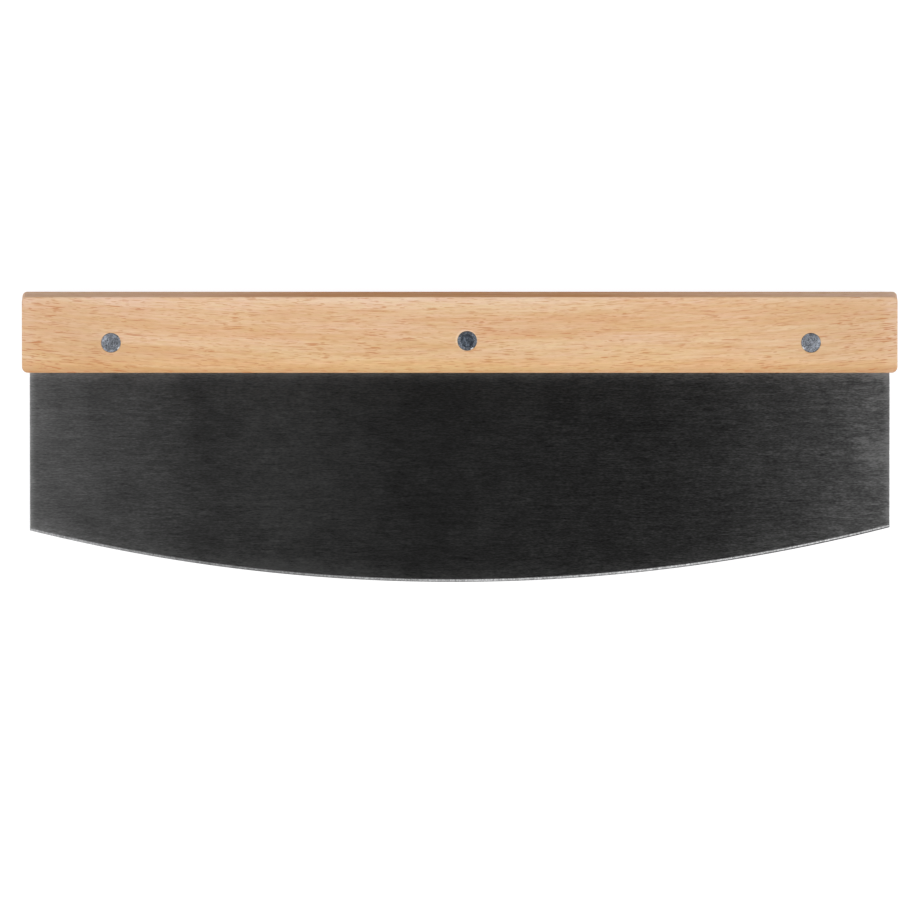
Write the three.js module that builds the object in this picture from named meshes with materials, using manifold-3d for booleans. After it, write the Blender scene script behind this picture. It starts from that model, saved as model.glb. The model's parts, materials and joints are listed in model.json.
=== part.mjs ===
// A rocking pizza knife: a steel blade with a long curved edge, held in a wooden handle bar.
//
// The handle is one bar of wood with a saw slot along its whole underside. The blade's tang
// stands in the slot, and three rivets go through wood and steel. Each rivet is two halves, a
// pin and a sleeve, whose flat heads sit flush in the two sides of the handle.
//
// Each piece is drawn in the handle's own axes: x along the handle, y from the cutting edge
// towards the handle's top, z out of the front face. y = 0 is the handle's underside, and
// z = 0 is the middle of the blade's thickness. Then the whole knife is laid down as it rests
// on a table, face up: on the handle's lower back edge and on the cutting edge.
// Lengths are in millimetres, +Z is up from the table.

import * as THREE from "three";
import { mergeVertices } from "three/addons/utils/BufferGeometryUtils.js";
import Module from "manifold-3d";

// The blade
const bladeLength = 350;
const bladeThickness = 1.5;
const bladeReach = 86.8; // from the handle's underside to the deepest point of the edge
const edgeArcRadius = 714;
const edgeArcOffset = -2.6; // the deepest point lies a little left of the middle
const bevelHeight = 1.25; // both ground facets together, square to the edge
const honedHeight = 0.45; // the lower, steeper facet
const honedThickness = 0.8; // the blade's thickness where the two facets meet
const edgeLand = 0.2;

// The handle
const handleOverhang = 3; // past each end of the blade
const handleHeight = 31;
const handleThickness = 21;
const handleCornerRadius = 2.1;
const handleEdgeEase = 0.4;
const woodAboveSlot = 10.2;

// The rivets
const leftRivetInset = 36.2; // from the handle's end to the rivet's axis
const rightRivetInset = 35.2;
const middleRivetOffset = 3.05; // right of the handle's middle
const outerRivetDrop = 3.2; // below the line along the middle of the handle's height
const middleRivetDrop = 2.4;
const rivetHeadDiameter = 7.9;
const rivetHeadThickness = 1.4;
const rivetHeadBevel = 0.15;
const rivetPinDiameter = 3.6;
const rivetPinTipTaper = 0.4;
const rivetSleeveWall = 0.65;
const sleeveHeadDishDiameter = 5.4;
const sleeveHeadDishDepth = 0.25;
const sleeveHeadDishSlope = 0.35; // how far the dish's wall leans in

// Clearances
const slotSideClearance = 0.15; // between the tang and each side of the slot
const slotTopClearance = 0.3; // between the tang's top and the slot's roof
const headSideClearance = 0.08; // round each head
const headSeatClearance = 0.1; // under each head
const headRecess = 0.05; // from the wood's face down to the head's face
const sleeveClearance = 0.15; // round the sleeve, in wood and steel
const pinClearance = 0.06; // round the pin, in the sleeve
const sleeveEndClearance = 0.5; // between the sleeve's end and the pin's head
const pinEndClearance = 0.5; // between the pin's tip and the bottom of the sleeve's bore
const cutOverrun = 5; // how far a cut runs out past the surface that it opens

// How finely round shapes are divided
const roundSteps = 32;
const cornerSteps = 6;
const easeSteps = 3;
const grindingDiscSteps = 512;

// What follows from the sizes above
const handleLength = bladeLength + 2 * handleOverhang;
const slotDepth = handleHeight - woodAboveSlot;
const slotWidth = bladeThickness + 2 * slotSideClearance;
const tangDepth = slotDepth - slotTopClearance;
const sleeveBoreDiameter = rivetPinDiameter + 2 * pinClearance;
const sleeveDiameter = sleeveBoreDiameter + 2 * rivetSleeveWall;
const sleeveHoleDiameter = sleeveDiameter + 2 * sleeveClearance;
const headHoleDiameter = rivetHeadDiameter + 2 * headSideClearance;
const headFace = handleThickness / 2 - headRecess; // height of a head's face over the middle
const headUnderside = headFace - rivetHeadThickness;
const headSeat = headUnderside - headSeatClearance;

const rivets = [
  {
    name: "left_rivet",
    x: leftRivetInset - handleLength / 2,
    y: handleHeight / 2 - outerRivetDrop,
    sleeveInFront: false,
  },
  {
    name: "middle_rivet",
    x: middleRivetOffset,
    y: handleHeight / 2 - middleRivetDrop,
    sleeveInFront: true,
  },
  {
    name: "right_rivet",
    x: handleLength / 2 - rightRivetInset,
    y: handleHeight / 2 - outerRivetDrop,
    sleeveInFront: false,
  },
];

const wood = new THREE.MeshStandardMaterial({
  name: "wood",
  color: 0xdcb894,
  roughness: 0.6,
  metalness: 0,
});
const bladeSteel = new THREE.MeshStandardMaterial({
  name: "blade_steel",
  color: 0x4a4a4c,
  roughness: 0.42,
  metalness: 1,
});
const rivetMetal = new THREE.MeshStandardMaterial({
  name: "rivet_metal",
  color: 0x7c8590,
  roughness: 0.45,
  metalness: 1,
});

const wasm = await Module();
wasm.setup();

// Turns a closed three.js geometry into a solid that can be cut and joined.
function solidFrom(geometry) {
  const bare = geometry.clone();
  bare.deleteAttribute("normal");
  bare.deleteAttribute("uv");
  const merged = mergeVertices(bare);
  return new wasm.Manifold(
    new wasm.Mesh({
      numProp: 3,
      vertProperties: merged.attributes.position.array,
      triVerts: new Uint32Array(merged.index.array),
    }),
  );
}

// Turns a solid back into a geometry with flat faces.
function geometryFrom(solid) {
  const mesh = solid.getMesh();
  const indexed = new THREE.BufferGeometry();
  indexed.setAttribute(
    "position",
    new THREE.BufferAttribute(new Float32Array(mesh.vertProperties), 3),
  );
  indexed.setIndex(new THREE.BufferAttribute(new Uint32Array(mesh.triVerts), 1));
  const flat = indexed.toNonIndexed();
  flat.computeVertexNormals();
  return flat;
}

// A round solid whose axis is z, from a profile of [radius, z] points that starts and ends on it.
function turned(profile, steps) {
  const points = profile.map(([radius, z]) => new THREE.Vector2(radius, z));
  const geometry = new THREE.LatheGeometry(points, steps);
  geometry.rotateX(Math.PI / 2);
  return geometry;
}

// A plain round bar along z between two heights, as a cutter.
function roundBar(diameter, from, to) {
  const radius = diameter / 2;
  return solidFrom(
    turned(
      [
        [0, from],
        [radius, from],
        [radius, to],
        [0, to],
      ],
      roundSteps,
    ),
  );
}

// A box between two corners.
function block(low, high) {
  const geometry = new THREE.BoxGeometry(
    high.x - low.x,
    high.y - low.y,
    high.z - low.z,
  );
  geometry.translate(
    (low.x + high.x) / 2,
    (low.y + high.y) / 2,
    (low.z + high.z) / 2,
  );
  return solidFrom(geometry);
}

// The blade is a flat plate, ground to shape by a thin disc with a bevelled rim: what plate and
// disc share has the curved edge with its two facets on both sides. The plate is drawn as two
// blocks that run into each other just under the handle, so that the flat side below it is a
// face of its own, which a magnetic holder can lie against.
function makeBlade() {
  const halfLength = bladeLength / 2;
  const halfThickness = bladeThickness / 2;
  const plateTop = -handleEdgeEase;
  const tangFoot = plateTop - handleEdgeEase;
  const tang = block(
    new THREE.Vector3(-halfLength, tangFoot, -halfThickness),
    new THREE.Vector3(halfLength, tangDepth, halfThickness),
  );
  const plate = block(
    new THREE.Vector3(-halfLength, -bladeReach - cutOverrun, -halfThickness),
    new THREE.Vector3(halfLength, plateTop, halfThickness),
  );
  let blade = tang.add(plate);

  // The disc's flank goes on at the upper facet's slope until it is clear of the plate.
  const facetHeight = bevelHeight - honedHeight;
  const facetLean = (bladeThickness - honedThickness) / 2;
  const flankHalf = halfThickness + facetLean;
  const flankRadius = edgeArcRadius - bevelHeight - facetHeight;
  const disc = solidFrom(
    turned(
      [
        [0, -flankHalf],
        [flankRadius, -flankHalf],
        [edgeArcRadius - honedHeight, -honedThickness / 2],
        [edgeArcRadius, -edgeLand / 2],
        [edgeArcRadius, edgeLand / 2],
        [edgeArcRadius - honedHeight, honedThickness / 2],
        [flankRadius, flankHalf],
        [0, flankHalf],
      ],
      grindingDiscSteps,
    ),
  ).translate([edgeArcOffset, edgeArcRadius - bladeReach, 0]);
  blade = blade.intersect(disc);

  for (const rivet of rivets) {
    const hole = roundBar(sleeveHoleDiameter, -cutOverrun, cutOverrun);
    blade = blade.subtract(hole.translate([rivet.x, rivet.y, 0]));
  }
  return blade;
}

// The handle's outline, seen face on: a rectangle with small round corners.
function handleOutline() {
  const half = handleLength / 2;
  const r = handleCornerRadius;
  const outline = new THREE.Shape();
  outline.moveTo(-half + r, 0);
  outline.lineTo(half - r, 0);
  outline.absarc(half - r, r, r, -Math.PI / 2, 0, false);
  outline.lineTo(half, handleHeight - r);
  outline.absarc(half - r, handleHeight - r, r, 0, Math.PI / 2, false);
  outline.lineTo(-half + r, handleHeight);
  outline.absarc(-half + r, handleHeight - r, r, Math.PI / 2, Math.PI, false);
  outline.lineTo(-half, r);
  outline.absarc(-half + r, r, r, Math.PI, 1.5 * Math.PI, false);
  return outline;
}

function makeHandle() {
  const flatDepth = handleThickness - 2 * handleEdgeEase;
  const bar = new THREE.ExtrudeGeometry(handleOutline(), {
    depth: flatDepth,
    curveSegments: cornerSteps,
    bevelEnabled: true,
    bevelThickness: handleEdgeEase,
    bevelSize: handleEdgeEase,
    bevelOffset: -handleEdgeEase,
    bevelSegments: easeSteps,
  });
  bar.translate(0, 0, -flatDepth / 2);
  let handle = solidFrom(bar);

  const slotEnd = handleLength / 2 + cutOverrun;
  const slot = block(
    new THREE.Vector3(-slotEnd, -cutOverrun, -slotWidth / 2),
    new THREE.Vector3(slotEnd, slotDepth, slotWidth / 2),
  );
  handle = handle.subtract(slot);

  const wayOut = handleThickness / 2 + cutOverrun;
  for (const rivet of rivets) {
    const cutters = [
      roundBar(sleeveHoleDiameter, -wayOut, wayOut),
      roundBar(headHoleDiameter, headSeat, wayOut),
      roundBar(headHoleDiameter, -wayOut, -headSeat),
    ];
    for (const cutter of cutters)
      handle = handle.subtract(cutter.translate([rivet.x, rivet.y, 0]));
  }
  return handle;
}

// The pin half: a flat head at the front with a solid shank that ends in a short taper.
function pinProfile() {
  const headRadius = rivetHeadDiameter / 2;
  const pinRadius = rivetPinDiameter / 2;
  const pinEnd = -headUnderside + pinEndClearance;
  return [
    [0, pinEnd],
    [pinRadius - rivetPinTipTaper, pinEnd],
    [pinRadius, pinEnd + rivetPinTipTaper],
    [pinRadius, headUnderside],
    [headRadius, headUnderside],
    [headRadius, headFace - rivetHeadBevel],
    [headRadius - rivetHeadBevel, headFace],
    [0, headFace],
  ];
}

// The sleeve half: a slightly dished head at the back with a tube that takes the pin.
function sleeveProfile() {
  const headRadius = rivetHeadDiameter / 2;
  const dishRadius = sleeveHeadDishDiameter / 2;
  const sleeveRadius = sleeveDiameter / 2;
  const boreRadius = sleeveBoreDiameter / 2;
  const sleeveEnd = headUnderside - sleeveEndClearance;
  return [
    [0, -headFace + sleeveHeadDishDepth],
    [dishRadius - sleeveHeadDishSlope, -headFace + sleeveHeadDishDepth],
    [dishRadius, -headFace],
    [headRadius - rivetHeadBevel, -headFace],
    [headRadius, -headFace + rivetHeadBevel],
    [headRadius, -headUnderside],
    [sleeveRadius, -headUnderside],
    [sleeveRadius, sleeveEnd],
    [boreRadius, sleeveEnd],
    [boreRadius, -headUnderside],
    [0, -headUnderside],
  ];
}

const knife = new THREE.Group();

function addPiece(name, geometry, material) {
  const piece = new THREE.Mesh(geometry, material);
  piece.name = name;
  knife.add(piece);
  return piece;
}

addPiece("handle", geometryFrom(makeHandle()), wood);
addPiece("blade", geometryFrom(makeBlade()), bladeSteel);
for (const rivet of rivets) {
  const halves = [
    [rivet.name + "_pin", pinProfile()],
    [rivet.name + "_sleeve", sleeveProfile()],
  ];
  for (const [name, profile] of halves) {
    const half = addPiece(name, turned(profile, roundSteps), rivetMetal);
    half.position.set(rivet.x, rivet.y, 0);
    if (rivet.sleeveInFront) half.rotation.y = Math.PI;
  }
}

// At rest the back of the handle touches the table where its lower edge begins to round, and
// the blade touches it at the upper corner of its back bevel. The angle between the handle's
// back face and the table follows from how far these two lines are apart.
knife.rotation.x = Math.atan2(
  (handleThickness - bladeThickness) / 2,
  bladeReach - bevelHeight + handleEdgeEase,
);

// The origin is on the table, under the middle of the knife.
const bounds = new THREE.Box3().setFromObject(knife, true);
const middle = bounds.getCenter(new THREE.Vector3());
knife.position.set(-middle.x, -middle.y, -bounds.min.z);

const pizzaKnife = new THREE.Group();
pizzaKnife.add(knife);

export default pizzaKnife;
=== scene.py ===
# %% [markdown]
# # A rocking pizza knife
#
# This knife is one long steel blade with a curved edge, held in the slot of a straight wooden
# bar by three rivets. It lies face up on a white table and is seen from straight above, so
# its shapes are simple, and the finish of the wood and the steel does most of the work.
#
# The CAD model gives every piece its real size. Here each one gets a finer mesh, in the same
# place, and a material that is made of nodes.

# %% Load the frame
import json
import math

import bmesh
import bpy
from mathutils import Matrix, Vector


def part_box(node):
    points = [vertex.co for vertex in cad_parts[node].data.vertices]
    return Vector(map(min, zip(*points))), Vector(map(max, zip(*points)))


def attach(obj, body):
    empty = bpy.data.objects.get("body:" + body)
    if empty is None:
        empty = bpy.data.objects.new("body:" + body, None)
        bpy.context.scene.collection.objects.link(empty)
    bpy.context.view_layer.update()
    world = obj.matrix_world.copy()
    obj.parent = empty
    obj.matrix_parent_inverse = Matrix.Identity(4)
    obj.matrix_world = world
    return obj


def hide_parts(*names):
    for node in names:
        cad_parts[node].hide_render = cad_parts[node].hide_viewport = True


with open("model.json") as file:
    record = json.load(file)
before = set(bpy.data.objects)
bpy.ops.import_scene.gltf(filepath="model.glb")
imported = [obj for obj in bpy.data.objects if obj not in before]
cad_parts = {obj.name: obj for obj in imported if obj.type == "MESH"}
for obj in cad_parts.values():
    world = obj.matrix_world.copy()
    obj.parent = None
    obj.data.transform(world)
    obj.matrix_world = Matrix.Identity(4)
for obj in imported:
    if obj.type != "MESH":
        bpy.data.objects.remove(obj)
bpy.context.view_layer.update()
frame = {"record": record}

mm = 0.001

# %% [markdown]
# ## The knife's own axes
#
# The blade hangs from the middle of a thick handle, so the knife lies with a lean of a few
# degrees. It is easier to model it upright and to lean it at the end. In its own axes, x runs
# along the handle, y from the cutting edge towards the handle's top, and z out of the front.
# y = 0 is the handle's underside, and z = 0 is the middle of the blade's thickness.
#
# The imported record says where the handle's top and back faces are and which way they look.
# The lean and the place of these axes follow from that.

# %% Where the knife's own axes lie
handle_length = 356 * mm
handle_height = 31 * mm
handle_thickness = 21 * mm

mounts = {mount["name"]: mount for mount in frame["record"]["mounts"]}
top_face = mounts["handle_top_face"]
back_face = mounts["handle_back_face"]
up_the_knife = Vector(top_face["axis"])
out_of_front = -Vector(back_face["axis"])
lean = math.atan2(up_the_knife.z, up_the_knife.y)

top_height = Vector(top_face["pos_m"]).dot(up_the_knife)
back_depth = Vector(back_face["pos_m"]).dot(out_of_front)
knife_origin = (
    up_the_knife * (top_height - handle_height)
    + out_of_front * (back_depth + handle_thickness / 2)
)
print("The knife leans by", round(math.degrees(lean), 3), "degrees")


# %% Pick a piece, and lay it down
def pick(piece):
    """Selects one object, and nothing else."""
    bpy.ops.object.select_all(action="DESELECT")
    piece.select_set(True)
    bpy.context.view_layer.objects.active = piece


def apply_place(piece):
    """Moves a piece's place, turn and size into its mesh."""
    pick(piece)
    bpy.ops.object.transform_apply(location=True, rotation=True, scale=True)


def lay_down(piece):
    """Leans a finished piece as the knife lies."""
    piece.location = knife_origin
    piece.rotation_euler = (lean, 0, 0)
    apply_place(piece)


# %% [markdown]
# ## A few helpers for modelling
#
# Modelling by hand is a loop of three steps: open a piece, pick some of its faces or edges,
# and run a tool on them. In a script the picking is done by place, so these helpers open a
# piece and select whatever passes a test.

# %% Open a piece and select by a test
hair = 0.002 * mm


def near(a, b):
    return abs(a - b) < hair


def open_piece(piece):
    """Opens one piece in edit mode, with nothing selected in it."""
    pick(piece)
    bpy.ops.object.mode_set(mode="EDIT")
    bpy.ops.mesh.select_all(action="DESELECT")


def close_piece():
    bpy.ops.object.mode_set(mode="OBJECT")


def select(kind, test):
    """Selects only those faces, edges or corners of the open piece that pass the test."""
    bpy.ops.mesh.select_mode(type=kind)
    bpy.ops.mesh.select_all(action="DESELECT")
    data = bpy.context.edit_object.data
    mesh = bmesh.from_edit_mesh(data)
    parts = {"FACE": mesh.faces, "EDGE": mesh.edges, "VERT": mesh.verts}[kind]
    chosen = [part for part in parts if test(part)]
    for part in chosen:
        part.select_set(True)
    bmesh.update_edit_mesh(data)
    return len(chosen)


def ends(edge):
    return [corner.co for corner in edge.verts]


# %% Extrude, widen and bevel what is selected
def extrude(move):
    bpy.ops.mesh.extrude_region_move(TRANSFORM_OT_translate={"value": move})


def widen(factor, centre):
    """Scales what is selected in x and y, as round the axis of a turned piece."""
    bpy.ops.transform.resize(value=(factor, factor, 1), center_override=centre)


def bevel(width, steps):
    bpy.ops.mesh.bevel(offset=width, segments=steps, affect="EDGES")


# %% Start a block or a cylinder
def new_block(name, low, high):
    """A block between two corners."""
    bpy.ops.object.select_all(action="DESELECT")
    bpy.ops.mesh.primitive_cube_add(size=1, location=(low + high) / 2)
    block = bpy.context.active_object
    block.name = name
    block.scale = high - low
    apply_place(block)
    return block


def new_cylinder(name, steps, radius, low, high, middle):
    """An upright cylinder between two heights."""
    bpy.ops.object.select_all(action="DESELECT")
    bpy.ops.mesh.primitive_cylinder_add(
        vertices=steps,
        radius=radius,
        depth=high - low,
        location=(middle.x, middle.y, (low + high) / 2),
    )
    cylinder = bpy.context.active_object
    cylinder.name = name
    apply_place(cylinder)
    return cylinder


# %% Cut one piece out of another, and finish a piece
def cut(piece, cutter):
    """Takes the cutter's shape out of the piece, and throws the cutter away."""
    modifier = piece.modifiers.new("cut", "BOOLEAN")
    modifier.operation = "DIFFERENCE"
    modifier.solver = "EXACT"
    modifier.object = cutter
    pick(piece)
    bpy.ops.object.modifier_apply(modifier=modifier.name)
    bpy.data.objects.remove(cutter)


def smooth(piece, degrees):
    """Shades a piece smooth, but keeps edges crisp that turn by more than this."""
    pick(piece)
    bpy.ops.object.shade_smooth_by_angle(angle=math.radians(degrees))


def recalculate_normals(piece):
    open_piece(piece)
    bpy.ops.mesh.select_all(action="SELECT")
    bpy.ops.mesh.normals_make_consistent(inside=False)
    close_piece()


# %% [markdown]
# ## Where the rivets are
#
# Each rivet is two halves that are pressed together: a pin with a flat head, and a sleeve
# whose head has a shallow dish. The outer two show the pin's head at the front. The middle
# one was put in from the other side, so it shows the sleeve's dished head.

# %% Rivet places and sizes
rivet_places = {
    "left": Vector((-141.8 * mm, 12.3 * mm, 0)),
    "middle": Vector((3.05 * mm, 13.1 * mm, 0)),
    "right": Vector((142.8 * mm, 12.3 * mm, 0)),
}
turned_rivets = {"middle"}

head_radius = 3.95 * mm
head_thickness = 1.4 * mm
head_sunk = 0.05 * mm
head_face = handle_thickness / 2 - head_sunk
head_underside = head_face - head_thickness
pin_radius = 1.8 * mm
sleeve_bore_radius = 1.86 * mm
sleeve_radius = 2.51 * mm

head_hole_radius = 4.03 * mm
sleeve_hole_radius = 2.66 * mm
seat_gap = 0.1 * mm
head_seat = head_underside - seat_gap

for side, place in rivet_places.items():
    low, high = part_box(side + "_rivet_pin")
    off = ((low + high) / 2 - place).x
    print(side, "rivet: off the CAD rivet's middle by", round(off / mm, 4), "mm")

# %% [markdown]
# The hole for a rivet is stepped: narrow for the sleeve, and wider near both faces for the
# heads. One cutter has that shape. It starts as a narrow cylinder, and each end is extruded
# on the spot, widened, and extruded outwards.

# %% The stepped cutter for a rivet's hole
cutter_steps = 96
cutter_reach = handle_thickness / 2 + 5 * mm


def new_hole_cutter(place):
    cutter = new_cylinder("drill", cutter_steps, sleeve_hole_radius, -head_seat, head_seat, place)
    open_piece(cutter)
    for side in (-1, 1):
        select("FACE", lambda face: near(face.calc_center_median().z, side * head_seat))
        extrude((0, 0, 0))
        widen(head_hole_radius / sleeve_hole_radius, place)
        extrude((0, 0, side * (cutter_reach - head_seat)))
    close_piece()
    recalculate_normals(cutter)
    return cutter


# %% [markdown]
# ## The handle
#
# The real handle is one bar of sanded hardwood. Its corners are rounded a little, the lower
# two more than the upper two. Its long edges are only just broken by the sandpaper, and a saw
# slot for the blade runs along the whole underside. The way to make it is the joiner's: a
# block, its corners rounded, its edges eased, and then the slot and the rivet holes cut.

# %% Shape the handle bar
upper_corner = 1.9 * mm
lower_corner = 2.5 * mm
corner_steps = 10
edge_ease = 0.4 * mm
ease_steps = 4

handle = new_block(
    "handle_bar",
    Vector((-handle_length / 2, 0, -handle_thickness / 2)),
    Vector((handle_length / 2, handle_height, handle_thickness / 2)),
)


def on_corner(edge, height):
    """True for the two edges that run from front to back at one height."""
    first, second = ends(edge)
    return near(first.x, second.x) and near(first.y, height) and near(second.y, height)


open_piece(handle)
rounded = 0
for height, radius in ((handle_height, upper_corner), (0.0, lower_corner)):
    rounded += select("EDGE", lambda edge: on_corner(edge, height))
    bevel(radius, corner_steps)


def on_face_outline(edge):
    """True for the edges round the handle's front face and round its back face."""
    first, second = ends(edge)
    return near(abs(first.z), handle_thickness / 2) and near(first.z, second.z)


eased = select("EDGE", on_face_outline)
bevel(edge_ease, ease_steps)
close_piece()
print("Handle:", rounded, "corners rounded and", eased, "edges eased")

# %% Saw the slot and drill the rivet holes
slot_width = 1.8 * mm
slot_depth = 20.8 * mm
overrun = 5 * mm

cut(handle, new_block(
    "saw_blade",
    Vector((-handle_length / 2 - overrun, -overrun, -slot_width / 2)),
    Vector((handle_length / 2 + overrun, slot_depth, slot_width / 2)),
))
for place in rivet_places.values():
    cut(handle, new_hole_cutter(place))
print("Handle:", len(handle.data.polygons), "faces after the cuts")

# %% [markdown]
# A drill leaves the rim of a hole slightly broken, and sanding rounds it. That thin slope
# catches the light beside the rivet, so the rims get a small bevel too.

# %% Break the rims of the rivet holes
rim_break = 0.12 * mm
break_steps = 2


def on_hole_rim(edge):
    if not on_face_outline(edge):
        return False
    return any(
        all(near((end.xy - place.xy).length, head_hole_radius) for end in ends(edge))
        for place in rivet_places.values()
    )


open_piece(handle)
rim_edges = select("EDGE", on_hole_rim)
bevel(rim_break, break_steps)
close_piece()
print("Handle:", rim_edges, "rim edges broken")

# %% [markdown]
# ## The blade
#
# The real blade is a flat sheet whose lower edge is ground on a large radius, with two narrow
# facets on each side: a wider one from the grinding and a steeper one from the honing. A
# sheet with a curved rim could be cut from a block, but the facets have to follow the arc, so
# it is better spun. A thin section with its two facets is swept round the centre of the arc,
# and the sweep is then trimmed straight along the ends and the top of the tang.

# %% Draw the blade's section
blade_length = 350 * mm
blade_thickness = 1.5 * mm
blade_reach = 86.8 * mm
tang_depth = 20.5 * mm
arc_radius = 714 * mm
bevel_height = 1.25 * mm
honed_height = 0.45 * mm
honed_thickness = 0.8 * mm
edge_land = 0.2 * mm
arc_centre = Vector((-2.6 * mm, arc_radius - blade_reach, 0))

section_top = 40 * mm
flat_foot = bevel_height - blade_reach

bpy.ops.object.select_all(action="DESELECT")
bpy.ops.mesh.primitive_plane_add(
    size=1,
    location=(arc_centre.x, (section_top + flat_foot) / 2, 0),
    rotation=(0, math.radians(90), 0),
)
blade = bpy.context.active_object
blade.name = "blade_sheet"
blade.scale = (blade_thickness, section_top - flat_foot, 1)
apply_place(blade)


def thin(factor):
    """Brings what is selected closer to the middle of the blade's thickness."""
    bpy.ops.transform.resize(value=(1, 1, factor), center_override=(0, 0, 0))


open_piece(blade)
select("EDGE", lambda edge: all(near(end.y, flat_foot) for end in ends(edge)))
extrude((0, honed_height - bevel_height, 0))
thin(honed_thickness / blade_thickness)
extrude((0, -honed_height, 0))
thin(edge_land / honed_thickness)

ground_slope = math.atan2((blade_thickness - honed_thickness) / 2, bevel_height - honed_height)
honed_slope = math.atan2((honed_thickness - edge_land) / 2, honed_height)
print("Blade: the facets slope by", [round(math.degrees(s), 1) for s in (ground_slope, honed_slope)])

# %% [markdown]
# With no window, Blender's rotate turns clockwise for a positive angle, and so does spin
# round +Z. The section is first turned half a sweep the other way, and the spin then carries
# it through the lowest point to the far side.

# %% Spin the section round the centre of the arc
half_sweep = math.radians(17.5)
sweep_steps = 280

bpy.ops.mesh.select_all(action="SELECT")
bpy.ops.transform.rotate(value=-half_sweep, orient_axis="Z", center_override=arc_centre)
bpy.ops.mesh.spin(steps=sweep_steps, angle=2 * half_sweep, center=arc_centre, axis=(0, 0, 1))

trims = [
    (Vector((0, tang_depth, 0)), Vector((0, 1, 0))),
    (Vector((blade_length / 2, 0, 0)), Vector((1, 0, 0))),
    (Vector((-blade_length / 2, 0, 0)), Vector((-1, 0, 0))),
]
for place, way_out in trims:
    bpy.ops.mesh.select_all(action="SELECT")
    bpy.ops.mesh.bisect(
        plane_co=place,
        plane_no=way_out,
        use_fill=True,
        clear_outer=True,
        threshold=hair,
    )
close_piece()
recalculate_normals(blade)
print("Blade:", len(blade.data.polygons), "faces, lowest point at",
      round(min(corner.co.y for corner in blade.data.vertices) / mm, 3), "mm")

# %% [markdown]
# The two short ends of a sheared sheet are deburred, which leaves a hair-thin slope that
# shines. The same stepped cutter that drilled the handle drills the tang, because its narrow
# middle is all that reaches the sheet.

# %% Deburr the blade's ends and drill the tang
burr_slope = 0.15 * mm


def on_blade_end(edge):
    first, second = ends(edge)
    return (
        near(abs(first.x), blade_length / 2)
        and near(first.x, second.x)
        and near(abs(first.z), blade_thickness / 2)
        and near(first.z, second.z)
    )


open_piece(blade)
end_edges = select("EDGE", on_blade_end)
bevel(burr_slope, break_steps)
close_piece()
for place in rivet_places.values():
    cut(blade, new_hole_cutter(place))
print("Blade:", end_edges, "end edges deburred")

# %% [markdown]
# ## The rivets
#
# Both halves are turned parts, so each starts as a short cylinder, the head. Insets draw the
# next diameter on its flat ends, and extrusions make the shank, the dish and the bore. One
# pin and one sleeve are modelled, and then copied to the three places.

# %% Model one pin
rivet_steps = 64
head_bevel = 0.18 * mm
head_bevel_steps = 3
tip_taper = 0.4 * mm
end_gap = 0.5 * mm
pin_end = -head_underside + end_gap
rivet_axis = Vector((0, 0, 0))


def select_flat(height):
    return select("FACE", lambda face: all(near(corner.co.z, height) for corner in face.verts))


def bevel_rim(height):
    """Breaks the outer edge of a head at its outside face."""
    select("EDGE", lambda edge: all(near(end.z, height) for end in ends(edge)))
    bevel(head_bevel, head_bevel_steps)


pin = new_cylinder("pin", rivet_steps, head_radius, head_underside, head_face, rivet_axis)
open_piece(pin)
bevel_rim(head_face)
select_flat(head_underside)
bpy.ops.mesh.inset(thickness=head_radius - pin_radius)
extrude((0, 0, pin_end + tip_taper - head_underside))
extrude((0, 0, -tip_taper))
widen(1 - tip_taper / pin_radius, rivet_axis)
close_piece()
recalculate_normals(pin)
print("Pin:", len(pin.data.polygons), "faces")

# %% Model one sleeve
dish_radius = 2.7 * mm
dish_depth = 0.25 * mm
dish_slope = 0.35 * mm
sleeve_end = head_underside - end_gap

sleeve = new_cylinder("sleeve", rivet_steps, head_radius, -head_face, -head_underside, rivet_axis)
open_piece(sleeve)
bevel_rim(-head_face)
select_flat(-head_face)
bpy.ops.mesh.inset(thickness=head_radius - head_bevel - dish_radius)
bpy.ops.mesh.inset(thickness=dish_slope)
bpy.ops.transform.translate(value=(0, 0, dish_depth))
select_flat(-head_underside)
bpy.ops.mesh.inset(thickness=head_radius - sleeve_radius)
extrude((0, 0, sleeve_end + head_underside))
bpy.ops.mesh.inset(thickness=sleeve_radius - sleeve_bore_radius)
extrude((0, 0, -head_underside - sleeve_end))
close_piece()
recalculate_normals(sleeve)
print("Sleeve:", len(sleeve.data.polygons), "faces")


# %% Put a pin and a sleeve in each hole
def placed_copy(model, name, place, half_turn):
    copy = model.copy()
    copy.data = model.data.copy()
    copy.name = name
    copy.data.name = name
    bpy.context.collection.objects.link(copy)
    copy.location = place
    copy.rotation_euler = (0, math.pi if half_turn else 0, 0)
    apply_place(copy)
    return copy


pins = {}
sleeves = {}
for side, place in rivet_places.items():
    half_turn = side in turned_rivets
    pins[side] = placed_copy(pin, side + "_pin", place, half_turn)
    sleeves[side] = placed_copy(sleeve, side + "_sleeve", place, half_turn)
bpy.data.objects.remove(pin)
bpy.data.objects.remove(sleeve)
print("Rivets:", sorted(pins), "each with a pin and a sleeve")

# %% [markdown]
# ## Laying the knife down
#
# Every piece is finished in the knife's own axes. Now all of them get the same lean and
# place, which is applied, so that each object sits at the origin with its place in its mesh.

# %% Shade, lean and hand over the pieces
crisp_from = 32
crisp_on_blade_from = 12

rivet_halves = [*pins.values(), *sleeves.values()]
for piece in [handle, blade, *rivet_halves]:
    smooth(piece, crisp_on_blade_from if piece is blade else crisp_from)
    lay_down(piece)
    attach(piece, "root")

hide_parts("handle")
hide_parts("blade")
for side in rivet_places:
    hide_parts(side + "_rivet_pin")
    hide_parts(side + "_rivet_sleeve")
print("Handed over:", handle.name, blade.name, "and", len(rivet_halves), "rivet halves")

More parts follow.
